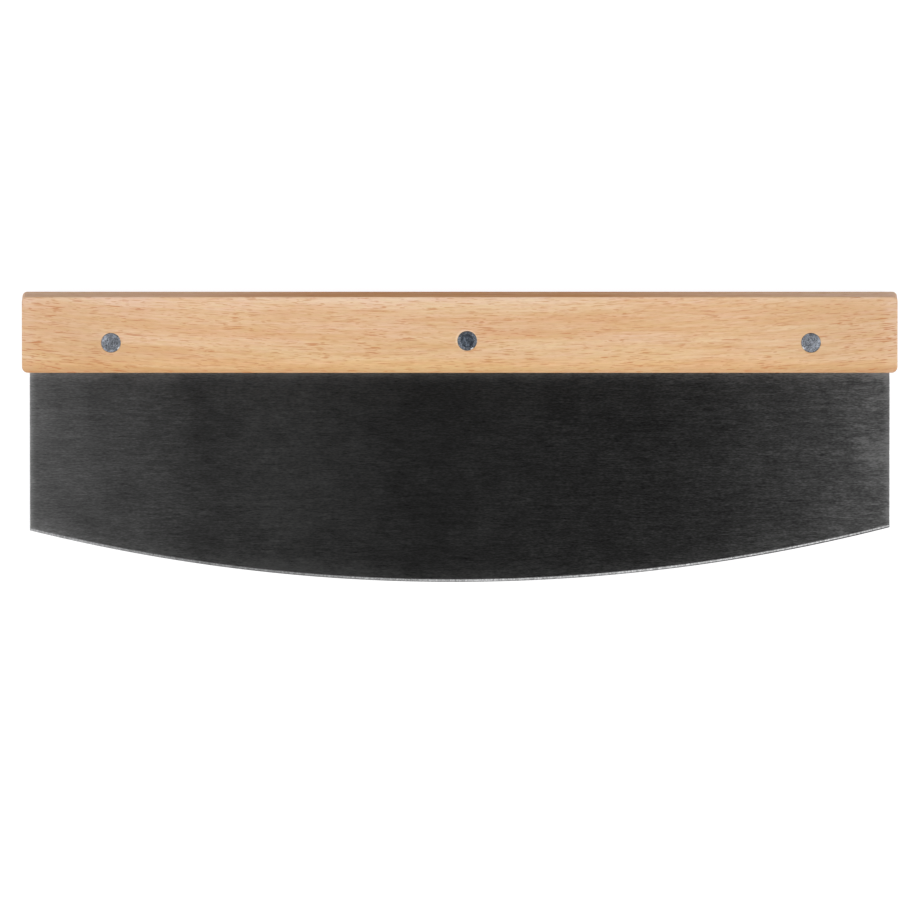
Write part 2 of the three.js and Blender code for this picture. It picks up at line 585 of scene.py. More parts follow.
# %% [markdown]
# ## Helpers for materials
#
# A material is a small program of nodes. These helpers add a node and join its sockets, and
# calculate with numbers and colours. A colour is given as a screen shows it, from 0 to 255,
# and turned into the linear numbers that a shader wants.

# %% Add nodes and join them
def plug(tree, value, socket):
    """Joins a socket to another, or sets it to a number or a colour."""
    if isinstance(value, bpy.types.NodeSocket):
        tree.links.new(value, socket)
    else:
        socket.default_value = value


def add(tree, kind, settings, inputs):
    """Adds a node. Its inputs go by name, or by number where names repeat."""
    node = tree.nodes.new(kind)
    for name, value in settings.items():
        setattr(node, name, value)
    for name, value in inputs.items():
        plug(tree, value, node.inputs[name])
    return node


# %% Calculate with nodes
def calculate(tree, operation, *values):
    """A sum, a product or the like of numbers and sockets."""
    node = add(tree, "ShaderNodeMath", {"operation": operation}, dict(enumerate(values)))
    return node.outputs[0]


def product(tree, first, *others):
    for other in others:
        first = calculate(tree, "MULTIPLY", first, other)
    return first


def between(tree, value, low, high, at_low=0.0, at_high=1.0):
    """Eases from at_low to at_high while the value goes from low to high."""
    node = add(
        tree,
        "ShaderNodeMapRange",
        {"interpolation_type": "SMOOTHSTEP"},
        {"Value": value, "From Min": low, "From Max": high, "To Min": at_low, "To Max": at_high},
    )
    return node.outputs["Result"]


def profile(tree, position, stops):
    """A number up to 2 that follows (place in mm, value) pairs.

    A smooth ramp ends at 1, so it holds half of each value.
    """
    start = stops[0][0] * mm
    end = stops[-1][0] * mm
    node = tree.nodes.new("ShaderNodeValToRGB")
    ramp = node.color_ramp
    ramp.interpolation = "CARDINAL"
    ramp.elements.remove(ramp.elements[1])
    for number, (place, value) in enumerate(stops):
        share = (place * mm - start) / (end - start)
        element = ramp.elements[0] if number == 0 else ramp.elements.new(share)
        element.position = share
        element.color = (value / 2, value / 2, value / 2, 1)
    share = add(tree, "ShaderNodeMapRange", {}, {"Value": position, "From Min": start, "From Max": end})
    plug(tree, share.outputs["Result"], node.inputs["Fac"])
    return calculate(tree, "MULTIPLY", node.outputs["Color"], 2.0)


# %% Mix colours
def screen_colour(red, green, blue):
    """The linear colour of what a screen shows at these levels, from 0 to 255."""
    def linear(level):
        share = level / 255
        return share / 12.92 if share <= 0.04045 else ((share + 0.055) / 1.055) ** 2.4
    return (linear(red), linear(green), linear(blue), 1)


def blend(tree, factor, first, second):
    """A colour between two others."""
    node = add(tree, "ShaderNodeMix", {"data_type": "RGBA"}, {0: factor, 6: first, 7: second})
    return node.outputs[2]


def scale_colour(tree, colour, factor):
    """A colour made lighter or darker by a factor."""
    if isinstance(colour, tuple):
        colour = colour[:3]
    node = add(tree, "ShaderNodeVectorMath", {"operation": "SCALE"}, {0: colour, "Scale": factor})
    return node.outputs[0]


def tint(tree, colour, factors):
    """A colour with its red, green and blue each changed by its own factor."""
    node = add(tree, "ShaderNodeVectorMath", {"operation": "MULTIPLY"}, {0: colour, 1: factors})
    return node.outputs[0]


def tint_where(tree, mask, colour, factors):
    """A colour that is tinted where the mask is 1."""
    return tint(tree, colour, blend(tree, mask, (1, 1, 1, 1), (*factors, 1)))


# %% Start a material in the knife's own axes
def new_material(name):
    material = bpy.data.materials.new(name)
    material.use_nodes = True
    tree = material.node_tree
    return material, tree, tree.nodes["Principled BSDF"]


def own_axes(tree):
    """The place on the piece in the knife's own axes, in metres."""
    upright = Matrix.Rotation(-lean, 3, "X")
    coordinates = tree.nodes.new("ShaderNodeTexCoord")
    mapping = add(
        tree,
        "ShaderNodeMapping",
        {"vector_type": "POINT"},
        {
            "Vector": coordinates.outputs["Object"],
            "Rotation": (-lean, 0, 0),
            "Location": -(upright @ knife_origin),
        },
    )
    return mapping.outputs["Vector"]


def split(tree, vector):
    node = add(tree, "ShaderNodeSeparateXYZ", {}, {"Vector": vector})
    return node.outputs["X"], node.outputs["Y"], node.outputs["Z"]


def combine(tree, x, y, z):
    node = add(tree, "ShaderNodeCombineXYZ", {}, {"X": x, "Y": y, "Z": z})
    return node.outputs["Vector"]


# %% Measure distances, bump a surface and coat a piece
def length_of(tree, across, up):
    """How long two steps at right angles are together."""
    square = calculate(tree, "MULTIPLY_ADD", across, across, product(tree, up, up))
    return calculate(tree, "SQRT", square)


def distance_from(tree, x, y, centre):
    """How far a place lies from another, seen from the front."""
    across = calculate(tree, "SUBTRACT", x, centre.x)
    return length_of(tree, across, calculate(tree, "SUBTRACT", y, centre.y))


def dot(tree, vector, other):
    node = add(tree, "ShaderNodeVectorMath", {"operation": "DOT_PRODUCT"}, {0: vector, 1: other})
    return node.outputs["Value"]


def bump(tree, shader, height, strength, distance):
    """Lets a pattern's height tip the surface."""
    inputs = {"Strength": strength, "Distance": distance, "Height": height}
    node = add(tree, "ShaderNodeBump", {}, inputs)
    plug(tree, node.outputs["Normal"], shader.inputs["Normal"])


def coat(piece, *materials):
    """Gives a piece these materials and no others."""
    piece.data.materials.clear()
    for material in materials:
        piece.data.materials.append(material)


# %% [markdown]
# ## Two effects that wood and metal share
#
# Streaks are noise that is stretched along one direction: the fibres of wood, the scratches
# of a brushing belt, and the marks of a grindstone. Patches are soft clouds of noise: the
# uneven tone of any real surface. Each is a node group with its own sizes as inputs, so one
# group serves every material.

# %% Start a node group, and put noise in it
def new_group(name, inputs, outputs):
    group = bpy.data.node_groups.new(name, "ShaderNodeTree")
    for label, kind, start in inputs:
        socket = group.interface.new_socket(label, in_out="INPUT", socket_type=kind)
        if start is not None:
            socket.default_value = start
    for label, kind in outputs:
        group.interface.new_socket(label, in_out="OUTPUT", socket_type=kind)
    return group, group.nodes.new("NodeGroupInput"), group.nodes.new("NodeGroupOutput")


def add_noise(group, entry, sizes, detail, roughness):
    """Noise that is drawn out by a size of its own along each axis."""
    parts = split(group, entry.outputs["Vector"])
    scaled = combine(group, *(
        calculate(group, "DIVIDE", part, entry.outputs[size]) for part, size in zip(parts, sizes)
    ))
    node = add(
        group,
        "ShaderNodeTexNoise",
        {"noise_dimensions": "4D"},
        {
            "Vector": scaled,
            "W": entry.outputs["Seed"],
            "Scale": 1.0,
            "Detail": detail,
            "Roughness": roughness,
        },
    )
    return node.outputs["Fac"]


# %% Build the two groups
def make_streaks_group():
    """Noise drawn out along x: a value round 0.5, with streaks of the given length and width."""
    group, entry, result = new_group(
        "Streaks",
        [
            ("Vector", "NodeSocketVector", None),
            ("Length", "NodeSocketFloat", 0.02),
            ("Width", "NodeSocketFloat", 0.0005),
            ("Detail", "NodeSocketFloat", 3.0),
            ("Seed", "NodeSocketFloat", 0.0),
        ],
        [("Value", "NodeSocketFloat")],
    )
    sizes = ("Length", "Width", "Width")
    noise = add_noise(group, entry, sizes, detail=entry.outputs["Detail"], roughness=0.6)
    plug(group, noise, result.inputs["Value"])
    return group


def make_patches_group():
    """Soft clouds: a factor that wanders between two levels over the given size."""
    group, entry, result = new_group(
        "Patches",
        [
            ("Vector", "NodeSocketVector", None),
            ("Size", "NodeSocketFloat", 0.02),
            ("Low", "NodeSocketFloat", 0.9),
            ("High", "NodeSocketFloat", 1.1),
            ("Seed", "NodeSocketFloat", 0.0),
        ],
        [("Factor", "NodeSocketFloat")],
    )
    noise = add_noise(group, entry, ("Size", "Size", "Size"), detail=2.0, roughness=0.5)
    factor = between(group, noise, 0.25, 0.75, entry.outputs["Low"], entry.outputs["High"])
    plug(group, factor, result.inputs["Factor"])
    return group


streaks_group = make_streaks_group()
patches_group = make_patches_group()
print("Node groups:", streaks_group.name, "and", patches_group.name)


# %% Use them like brushes
def streaks(tree, vector, length, width, detail, seed):
    node = add(
        tree,
        "ShaderNodeGroup",
        {"node_tree": streaks_group},
        {"Vector": vector, "Length": length, "Width": width, "Detail": detail, "Seed": seed},
    )
    return node.outputs["Value"]


def patches(tree, vector, size, low, high, seed):
    node = add(
        tree,
        "ShaderNodeGroup",
        {"node_tree": patches_group},
        {"Vector": vector, "Size": size, "Low": low, "High": high, "Seed": seed},
    )
    return node.outputs["Factor"]


# %% [markdown]
# ## The wood
#
# The bar is a pale, warm hardwood with many short, fine pores. The grain runs along the bar
# and sags a little towards the middle, so its coordinates are bent before any pattern reads
# them. The ground colour turns from pale pink at the top to yellow at the underside. Bands,
# lines, flecks and fibres change it between pale and tan, and two wider streaks between
# yellow and pink. The bar is palest low in the middle and most tan at its upper corners.
# Then come two sizes of pore, which crowd towards the ends.
#
# All of these are streaks of one kind or another. A pore is what is left of a streak when
# only its darkest part is kept, which gives strokes of uneven length with pointed ends. As
# the pattern fills space, the strokes come out as dots where the ends cut across the grain.
#
# The top side is darker and browner: painted shade, deepest in the middle and round the upper
# corners, over a slightly browner tone of the wood. The wood is duller towards the middle, and
# the hole of the middle rivet has a painted highlight, a pale crescent at its upper left.

# %% Choose the wood's colours
grain_sag = 0.25
grain_wander = 2 * mm

# The darker lowest stop is painted shade along the bar's underside edge.
wood_ramp = [
    (0.0, screen_colour(209, 164, 120)),
    (0.05, screen_colour(215, 170, 120)),
    (0.12, screen_colour(225, 180, 130)),
    (0.22, screen_colour(225, 184, 140)),
    (0.5, screen_colour(224, 183, 142)),
    (0.8, screen_colour(224, 183, 143)),
    (0.9, screen_colour(228, 189, 151)),
    (1.0, screen_colour(233, 198, 167)),
]
pale_tint = (1.07, 1.17, 1.3)
tan_tint = (0.95, 0.875, 0.77)
yellow_tint = (0.995, 1.02, 0.97)
pink_tint = (1.005, 0.98, 1.03)
pore_colour = screen_colour(192, 112, 50)
# Painted shade on the top side, over a slightly browner tone of the wood.
top_shade_tint = (0.69, 0.43, 0.18)
# Painted highlight on the rim of the middle rivet's hole.
rim_highlight_tint = (1.1, 1.22, 1.4)
pale_end_tint = (1.03, 1.07, 1.17)
print("Wood:", len(wood_ramp), "ground colours from the underside to the top")


# %% Lay the grain straight
def bent_grain(tree, place):
    """The same place with the grain laid straight."""
    x, y, z = split(tree, place)
    sag = product(tree, x, x, grain_sag)
    wander = streaks(tree, place, length=60 * mm, width=14 * mm, detail=1.0, seed=3.7)
    wander = product(tree, calculate(tree, "SUBTRACT", wander, 0.5), grain_wander)
    straight = calculate(tree, "ADD", calculate(tree, "SUBTRACT", y, sag), wander)
    return combine(tree, x, straight, z)


# %% Colour the ground and the grain
def wood_ground(tree, y):
    """The colour from the bar's underside to its top."""
    node = tree.nodes.new("ShaderNodeValToRGB")
    ramp = node.color_ramp
    ramp.elements.remove(ramp.elements[1])
    ramp.elements[0].position, ramp.elements[0].color = wood_ramp[0]
    for position, colour in wood_ramp[1:]:
        ramp.elements.new(position).color = colour
    plug(tree, calculate(tree, "DIVIDE", y, handle_height), node.inputs["Fac"])
    return node.outputs["Color"]


def with_grain(tree, colour, grain, fibres, x, y, off_middle):
    """The colour turned between pale and tan, and between yellow and pink, along the grain."""
    bands = streaks(tree, grain, length=90 * mm, width=5 * mm, detail=2.0, seed=1.3)
    lines = streaks(tree, grain, length=34 * mm, width=1.3 * mm, detail=2.0, seed=6.4)
    flecks = streaks(tree, grain, length=9 * mm, width=1.1 * mm, detail=2.0, seed=9.2)
    tone = lines
    for layer, weight in ((flecks, 0.6), (bands, 1.2), (fibres, 0.5)):
        tone = calculate(tree, "MULTIPLY_ADD", layer, weight, tone)

    # Paler low in the middle, more tan towards the ends, and a little more so at the left.
    for shift in (
        between(tree, y, 0.0, handle_height, 0.15, 0.0),
        between(tree, off_middle, 20 * mm, 150 * mm, 0.0, -0.18),
        between(tree, x, -150 * mm, -60 * mm, -0.06, 0.0),
    ):
        tone = calculate(tree, "ADD", tone, shift)
    tone = between(tree, tone, 1.2, 2.1)
    broad = streaks(tree, grain, length=40 * mm, width=5 * mm, detail=2.0, seed=4.6)
    narrow = streaks(tree, grain, length=5 * mm, width=1.2 * mm, detail=2.0, seed=7.7)
    hue = between(tree, calculate(tree, "ADD", broad, narrow), 0.7, 1.3)

    pale_or_tan = blend(tree, tone, (*tan_tint, 1), (*pale_tint, 1))
    yellow_or_pink = blend(tree, hue, (*pink_tint, 1), (*yellow_tint, 1))
    colour = tint(tree, tint(tree, colour, pale_or_tan), yellow_or_pink)
    return scale_colour(tree, colour, between(tree, fibres, 0.25, 0.75, 0.96, 1.04))


# %% Scatter the pores
def pores(tree, grain, length, width, start, full, seed):
    """Dark strokes: 1 in the heart of a pore, 0 outside."""
    strokes = streaks(tree, grain, length, width, detail=1.0, seed=seed)
    return between(tree, strokes, start, full)


def all_pores(tree, grain, off_middle):
    """Pores of two sizes, which crowd together in places and towards the ends."""
    long_pores = pores(tree, grain, length=8 * mm, width=0.46 * mm, start=0.6, full=0.67, seed=2.9)
    short_pores = pores(tree, grain, length=3.6 * mm, width=0.44 * mm, start=0.6, full=0.68, seed=8.3)
    darkest = calculate(tree, "MAXIMUM", long_pores, product(tree, short_pores, 0.8))
    crowding = patches(tree, grain, size=16 * mm, low=0.5, high=1.1, seed=2.2)
    to_ends = between(tree, off_middle, 120 * mm, 170 * mm, 0.85, 1.15)
    return product(tree, darkest, crowding, to_ends)


# %% Find the top side's painted shade
def top_shade_mask(tree, grain, y, off_middle):
    """1 on the top side and round the upper corners, where shade is painted over a slightly browner
    tone of the wood.
    """
    past_x = calculate(tree, "SUBTRACT", off_middle, handle_length / 2 - upper_corner)
    past_y = calculate(tree, "SUBTRACT", y, handle_height - upper_corner)
    reach = length_of(
        tree,
        calculate(tree, "MAXIMUM", past_x, 0.0),
        calculate(tree, "MAXIMUM", past_y, 0.0),
    )

    # At the corners it comes a little way on to the front.
    spread = between(tree, off_middle, 170 * mm, 176 * mm, 0.06 * mm, 0.9 * mm)
    to_side = calculate(tree, "SUBTRACT", upper_corner, reach)
    on_side = calculate(tree, "SUBTRACT", 1.0, calculate(tree, "DIVIDE", to_side, spread))
    on_side = calculate(tree, "MAXIMUM", on_side, 0.0)
    upper = between(tree, y, handle_height - 6 * mm, handle_height - upper_corner)
    towards_middle = between(tree, off_middle, 30 * mm, 165 * mm, 0.98, 0.3)
    unevenness = streaks(tree, grain, length=25 * mm, width=2.5 * mm, detail=3.0, seed=3.3)
    unevenness = between(tree, unevenness, 0.3, 0.7, 0.75, 1.2)
    return product(tree, on_side, upper, towards_middle, unevenness)


# %% Mix the wood
def make_wood():
    material, tree, shader = new_material("sanded_hardwood")
    place = own_axes(tree)
    x, y, _ = split(tree, place)
    off_middle = calculate(tree, "ABSOLUTE", x)
    grain = bent_grain(tree, place)
    fibres = streaks(tree, grain, length=5 * mm, width=0.5 * mm, detail=3.0, seed=5.1)
    pore_mask = all_pores(tree, grain, off_middle)
    colour = with_grain(tree, wood_ground(tree, y), grain, fibres, x, y, off_middle)
    colour = blend(tree, product(tree, pore_mask, 0.8), colour, pore_colour)

    # The bar darkens towards its ends, and the last few millimetres are paler again.
    colour = scale_colour(tree, colour, between(tree, off_middle, 100 * mm, 160 * mm, 1.0, 0.945))
    pale_ends = between(tree, off_middle, 171 * mm, 176 * mm)
    colour = tint_where(tree, pale_ends, colour, pale_end_tint)

    # A painted highlight: a pale crescent at the upper left of the middle rivet's hole.
    hole = rivet_places["middle"] + Vector((-0.3 * mm, 0.3 * mm, 0))
    crescent = between(tree, distance_from(tree, x, y, hole), 4.2 * mm, 4.7 * mm, 1.0, 0.0)
    colour = tint_where(tree, crescent, colour, rim_highlight_tint)
    # Painted shade on the top side and round the upper corners, deepest in the middle.
    colour = tint_where(tree, top_shade_mask(tree, grain, y, off_middle), colour, top_shade_tint)
    plug(tree, colour, shader.inputs["Base Color"])

    shine = between(tree, off_middle, 30 * mm, 150 * mm, 0.15, 0.5)
    plug(tree, shine, shader.inputs["Specular IOR Level"])
    plug(tree, between(tree, fibres, 0.2, 0.8, 0.58, 0.7), shader.inputs["Roughness"])
    height = calculate(tree, "SUBTRACT", product(tree, fibres, 0.35), pore_mask)
    bump(tree, shader, height, strength=0.5, distance=0.05 * mm)
    return material


wood = make_wood()
coat(handle, wood)
print("Wood:", len(wood.node_tree.nodes), "nodes")

# %% [markdown]
# ## The steel
#
# The flat of the blade is brushed lengthwise. Seen closely that is thousands of short
# parallel scratches, which vary in tone and tip the surface a little up and down, and spread
# reflections across the scratches. So the steel has streaks along x in its colour, its
# roughness and its bump, and an anisotropic highlight.
#
# The finish changes along the blade, and a painted reflection goes with it. Polish and painted
# reflection give a light band near the left end, a broad sheen left of the middle and a dull
# patch in the middle. The scratches get deeper to the right, where the end is worn bright in
# blotches and carries a painted sheen, brightest in one place halfway down. Soft curves
# through a few stops tell this. The steel is also lighter in three narrow strips: just above
# the ground edge, and, as painted highlights, at both ends and close under the handle. That
# last one is painted cooler too, against the warm wood that it mirrors.
#
# The ground edge is a different surface on the same piece. It is brighter and rougher, and
# its marks stand square to the edge, so they need coordinates that run along the arc. Its
# tone along the blade is painted: a reflection on the ground facet, and shade on the honed one.

# %% Tell how the steel changes along the blade
steel_colour = screen_colour(122, 122, 122)

# The polish along the blade, with a painted reflection in it.
polish_and_sheen_along_blade = [
    (-175, 0.96), (-143, 0.98), (-122, 1.14), (-101, 0.98), (-70, 1.28), (-28, 0.94),
    (-10, 0.84), (15, 0.92), (80, 0.8), (120, 0.93), (175, 0.95),
]
scratches_along_blade = [(-175, 0.5), (-100, 0.6), (-30, 0.6), (20, 0.7), (65, 0.88), (175, 0.87)]
# Gain of the painted highlight close under the handle.
under_handle_along_blade = [
    (-175, 0.55), (-130, 0.65), (-70, 0.85), (-15, 1.1), (65, 1.3), (110, 1.0), (145, 0.8), (175, 1.0),
]
lift_above_edge_along_blade = [(-175, 0.3), (-80, 0.6), (100, 0.65), (150, 0.2), (175, 0.1)]
# Painted reflection on the ground facet, and painted shade on the honed one, along the blade.
ground_sheen_along_blade = [(-175, 0.62), (-100, 0.46), (0, 0.79), (90, 0.85), (155, 0.88), (175, 0.85)]
honed_shade_along_blade = [
    (-175, 0.65), (-100, 0.34), (0, 0.46), (50, 0.48), (90, 0.36), (140, 0.12), (175, 0.17),
]
# Painted cool tint close under the handle, against the warm wood that it mirrors.
cool_tint = (0.91, 1.0, 1.09)
lightest_tone = 1.9
# Where the painted sheen on the right end is brightest.
shiny_place = Vector((172 * mm, -35 * mm, 0))
print("Steel: the polish changes over", len(polish_and_sheen_along_blade), "stops")


# %% Scratch the steel, and paint its sheen
def scratch_tone(tree, place, x, fine):
    """Light and dark scratches of three sizes, in a polish and a painted reflection that change along
    the blade.
    """
    tiny = streaks(tree, place, length=1.5 * mm, width=0.4 * mm, detail=1.0, seed=6.1)
    coarse = streaks(tree, place, length=18 * mm, width=1.1 * mm, detail=2.0, seed=7.5)
    scratches = between(tree, fine, 0.25, 0.75, -0.42, 0.42)
    for layer, depth in ((tiny, 0.38), (coarse, 0.12)):
        layer = between(tree, layer, 0.25, 0.75, -depth, depth)
        scratches = calculate(tree, "ADD", scratches, layer)

    # A power of e makes light scratches stand out a little more than dark ones.
    tone = product(tree, scratches, profile(tree, x, scratches_along_blade))
    tone = calculate(tree, "EXPONENT", tone)
    clouds = patches(tree, place, size=16 * mm, low=0.88, high=1.14, seed=4.0)
    return product(tree, tone, clouds, profile(tree, x, polish_and_sheen_along_blade))


def worn_and_sheen_end(tree, place, x, y):
    """The right end is brighter: worn in blotches, with a painted sheen brightest in one place halfway
    down.
    """
    blotches = streaks(tree, place, length=7 * mm, width=2.6 * mm, detail=4.0, seed=5.5)
    to_shiny_place = distance_from(tree, x, y, shiny_place)
    worn_and_sheen = calculate(
        tree,
        "ADD",
        between(tree, blotches, 0.4, 0.7, -0.14, 0.46),
        between(tree, to_shiny_place, 4 * mm, 16 * mm, 0.3, 0.0),
    )
    to_right = between(tree, x, 125 * mm, 174 * mm)
    return calculate(tree, "MULTIPLY_ADD", worn_and_sheen, to_right, 1.0)


# %% Lighten the steel in strips
def lighter_strip(tree, distance, reach, gain, fall):
    """A factor that is 1 + gain along an edge and falls to 1 over its reach."""
    share = calculate(tree, "SUBTRACT", 1.0, calculate(tree, "DIVIDE", distance, reach))
    share = calculate(tree, "POWER", calculate(tree, "MAXIMUM", share, 0.0), fall)
    return calculate(tree, "MULTIPLY_ADD", share, gain, 1.0)


def from_arc_centre(tree, x, y):
    """Steps from the centre of the edge's arc to a place: sideways, down, and straight."""
    across = calculate(tree, "SUBTRACT", x, arc_centre.x)
    down = calculate(tree, "SUBTRACT", arc_centre.y, y)
    return across, down, length_of(tree, across, down)


def beside_edges(tree, x, y, off_middle):
    """Lighter above the ground edge, a painted highlight at both ends, and painted shade in a line at
    the very ends.
    """
    radius = from_arc_centre(tree, x, y)[2]
    to_ground = calculate(tree, "SUBTRACT", arc_radius - bevel_height, radius)
    glow = profile(tree, x, lift_above_edge_along_blade)
    above_ground = lighter_strip(tree, to_ground, reach=9 * mm, gain=glow, fall=2.0)
    to_end = calculate(tree, "SUBTRACT", blade_length / 2, off_middle)
    # Painted highlight beside both ends, and painted shade in a line at the very ends.
    beside_ends = lighter_strip(tree, to_end, reach=3.4 * mm, gain=1.1, fall=2.0)
    lip = between(tree, to_end, 0.1 * mm, 0.2 * mm, 0.35, 1.0)
    return product(tree, above_ground, beside_ends, lip)


def lit_under_handle(tree, tone, x, y):
    """A painted highlight: the tone made lighter close under the handle, but never lighter than a
    limit.
    """
    to_handle = product(tree, y, -1.0)
    gain = product(tree, profile(tree, x, under_handle_along_blade), 2.0)
    strip = lighter_strip(tree, to_handle, reach=8 * mm, gain=gain, fall=3.0)
    closest_strip = lighter_strip(tree, to_handle, reach=4 * mm, gain=0.4, fall=1.0)
    lightest = product(tree, closest_strip, lightest_tone)
    return calculate(tree, "MINIMUM", product(tree, tone, strip), lightest)


# %% Mix the brushed steel
def make_brushed_steel():
    material, tree, shader = new_material("brushed_steel")
    place = own_axes(tree)
    x, y, _ = split(tree, place)
    off_middle = calculate(tree, "ABSOLUTE", x)
    fine = streaks(tree, place, length=3.6 * mm, width=0.3 * mm, detail=2.0, seed=2.5)
    tone = product(
        tree,
        scratch_tone(tree, place, x, fine),
        worn_and_sheen_end(tree, place, x, y),
        beside_edges(tree, x, y, off_middle),
    )
    colour = scale_colour(tree, steel_colour, lit_under_handle(tree, tone, x, y))

    # Close under the handle the steel is painted cooler, more so in the middle, against the warm wood
    # that it mirrors.
    cool = between(tree, off_middle, 60 * mm, 160 * mm, 1.0, 0.2)
    near_handle = calculate(tree, "POWER", between(tree, y, -18 * mm, 0.0), 4.0)
    colour = tint_where(tree, product(tree, cool, near_handle), colour, cool_tint)
    plug(tree, colour, shader.inputs["Base Color"])
    plug(tree, between(tree, fine, 0.2, 0.8, 0.27, 0.34), shader.inputs["Roughness"])
    bump(tree, shader, fine, strength=1.0, distance=0.003 * mm)

    shader.inputs["Metallic"].default_value = 1.0
    shader.inputs["Anisotropic"].default_value = 0.7
    shader.inputs["Anisotropic Rotation"].default_value = 0.25
    tangent = add(tree, "ShaderNodeTangent", {"direction_type": "UV_MAP"}, {})
    plug(tree, tangent.outputs["Tangent"], shader.inputs["Tangent"])
    return material


# %% Mix the ground edge
ground_colour = screen_colour(205, 205, 206)


def make_ground_edge():
    material, tree, shader = new_material("ground_edge")
    place = own_axes(tree)
    x, y, z = split(tree, place)
    across, down, radius = from_arc_centre(tree, x, y)
    along = product(tree, calculate(tree, "ARCTAN2", across, down), arc_radius)
    square_to_edge = combine(tree, radius, along, z)
    marks = streaks(tree, square_to_edge, length=6 * mm, width=0.7 * mm, detail=4.0, seed=1.0)
    light_and_dark = between(tree, marks, 0.2, 0.8, 0.45, 1.55)
    clouds = patches(tree, place, size=22 * mm, low=0.9, high=1.1, seed=6.0)

    # The grindstone runs out softly at the top. Along the blade the ground facet carries a painted
    # reflection, and the honed facet painted shade.
    top_of_facet = arc_radius - bevel_height
    run_out = between(tree, radius, top_of_facet, top_of_facet + 0.4 * mm, 0.35, 1.08)
    honed = calculate(tree, "GREATER_THAN", radius, arc_radius - honed_height)
    ground_tone = profile(tree, x, ground_sheen_along_blade)
    honed_tone = profile(tree, x, honed_shade_along_blade)
    facet_tone = blend(tree, honed, ground_tone, honed_tone)
    tone = product(tree, light_and_dark, clouds, run_out, facet_tone)
    plug(tree, scale_colour(tree, ground_colour, tone), shader.inputs["Base Color"])
    plug(tree, between(tree, marks, 0.2, 0.8, 0.74, 0.86), shader.inputs["Roughness"])
    shader.inputs["Metallic"].default_value = 1.0
    bump(tree, shader, marks, strength=0.5, distance=0.01 * mm)
    return material


# %% Give the blade its two surfaces
def world_to_knife(point):
    """Takes a place on the knife as it lies back to the knife's own axes."""
    return Matrix.Rotation(-lean, 3, "X") @ (point - knife_origin)


coat(blade, make_brushed_steel(), make_ground_edge())
facets = 0
for face in blade.data.polygons:
    middle = world_to_knife(face.center)
    if (middle.xy - arc_centre.xy).length > arc_radius - bevel_height + hair:
        face.material_index = 1
        facets += 1
print("Blade:", facets, "faces are ground edge")

# %% [markdown]
# The anisotropic highlight needs to know which way the scratches run. A map that lays the
# sheet out flat, with its first direction along x, tells it.

# %% Lay out the blade's map
open_piece(blade)
bpy.ops.mesh.select_all(action="SELECT")
bpy.ops.uv.cube_project(cube_size=blade_length)
close_piece()
print("Blade: its map is", blade.data.uv_layers.active.name)

# %% [markdown]
# ## The rivet metal
#
# The rivet heads are soft grey metal, sanded flush with the wood. They are duller than the
# blade, with blotches of three sizes and slanting scratches. The dish of the middle head is
# darker, and painted shade darkens it further towards its rim. Each head has one painted
# highlight, a small bright glint at its rim.

# %% Choose the rivets' colours and painted glints
outer_colour = screen_colour(123, 127, 134)
middle_colour = screen_colour(102, 107, 115)
dish_colour = screen_colour(90, 97, 107)
glint_colour = screen_colour(228, 228, 228)
# The painted glint at the rim of each head.
glint_depth = 0.6 * mm
glint_half_width = 0.9 * mm
glint_ways = {
    "left": Vector((0.82, -0.57, 0)),
    "middle": Vector((0.53, -0.85, 0)),
    "right": Vector((-0.82, -0.57, 0)),
}
glint_blur_in = 0.2 * mm
glint_blur_aside = 0.5 * mm


def glint_mask(tree, x, y, centre, way):
    """1 in a small painted glint at the rim of a head, on the side that the way points to."""
    from_centre = combine(
        tree,
        calculate(tree, "SUBTRACT", x, centre.x),
        calculate(tree, "SUBTRACT", y, centre.y),
        0.0,
    )
    outward = dot(tree, from_centre, way)
    sideways = calculate(tree, "ABSOLUTE", dot(tree, from_centre, way.cross(Vector((0, 0, 1)))))
    glint_start = head_radius - glint_depth
    return product(
        tree,
        between(tree, outward, glint_start, glint_start + glint_blur_in),
        between(tree, sideways, glint_half_width - glint_blur_aside, glint_half_width, 1.0, 0.0),
    )


# %% Mix the rivet metal
def make_rivet_metal(name, base, centre, seed, glint_way=None, shade_from=None):
    """Blotchy grey metal round a rivet's centre, with a painted glint, painted shade towards a dish's
    rim, or neither.
    """
    material, tree, shader = new_material(name)
    place = own_axes(tree)
    x, y, z = split(tree, place)
    cloud = patches(tree, place, size=4 * mm, low=0.6, high=1.4, seed=seed)
    blotches = patches(tree, place, size=1.5 * mm, low=0.65, high=1.35, seed=seed + 1)
    specks = patches(tree, place, size=0.5 * mm, low=0.35, high=1.7, seed=seed + 2)
    slanting = combine(tree, calculate(tree, "ADD", x, y), calculate(tree, "SUBTRACT", y, x), z)
    scratches = streaks(tree, slanting, length=3 * mm, width=0.3 * mm, detail=3.0, seed=seed)
    tone = product(tree, cloud, blotches, specks, between(tree, scratches, 0.2, 0.8, 0.8, 1.2))
    # Painted shade towards the rim of the dish.
    if shade_from:
        off_axis = distance_from(tree, x, y, centre)
        tone = product(tree, tone, between(tree, off_axis, shade_from, dish_radius, 1.0, 0.55))
    colour = scale_colour(tree, base, tone)
    # A painted highlight: a small bright glint at the rim.
    if glint_way:
        colour = blend(tree, glint_mask(tree, x, y, centre, glint_way), colour, glint_colour)
    plug(tree, colour, shader.inputs["Base Color"])
    plug(tree, between(tree, scratches, 0.2, 0.8, 0.5, 0.64), shader.inputs["Roughness"])
    shader.inputs["Metallic"].default_value = 1.0
    bump(tree, shader, scratches, strength=0.6, distance=0.02 * mm)
    return material


# %% Finish the rivets
dish_shade_from = 1.2 * mm
first_seed = 3.0
seed_step = 5.0

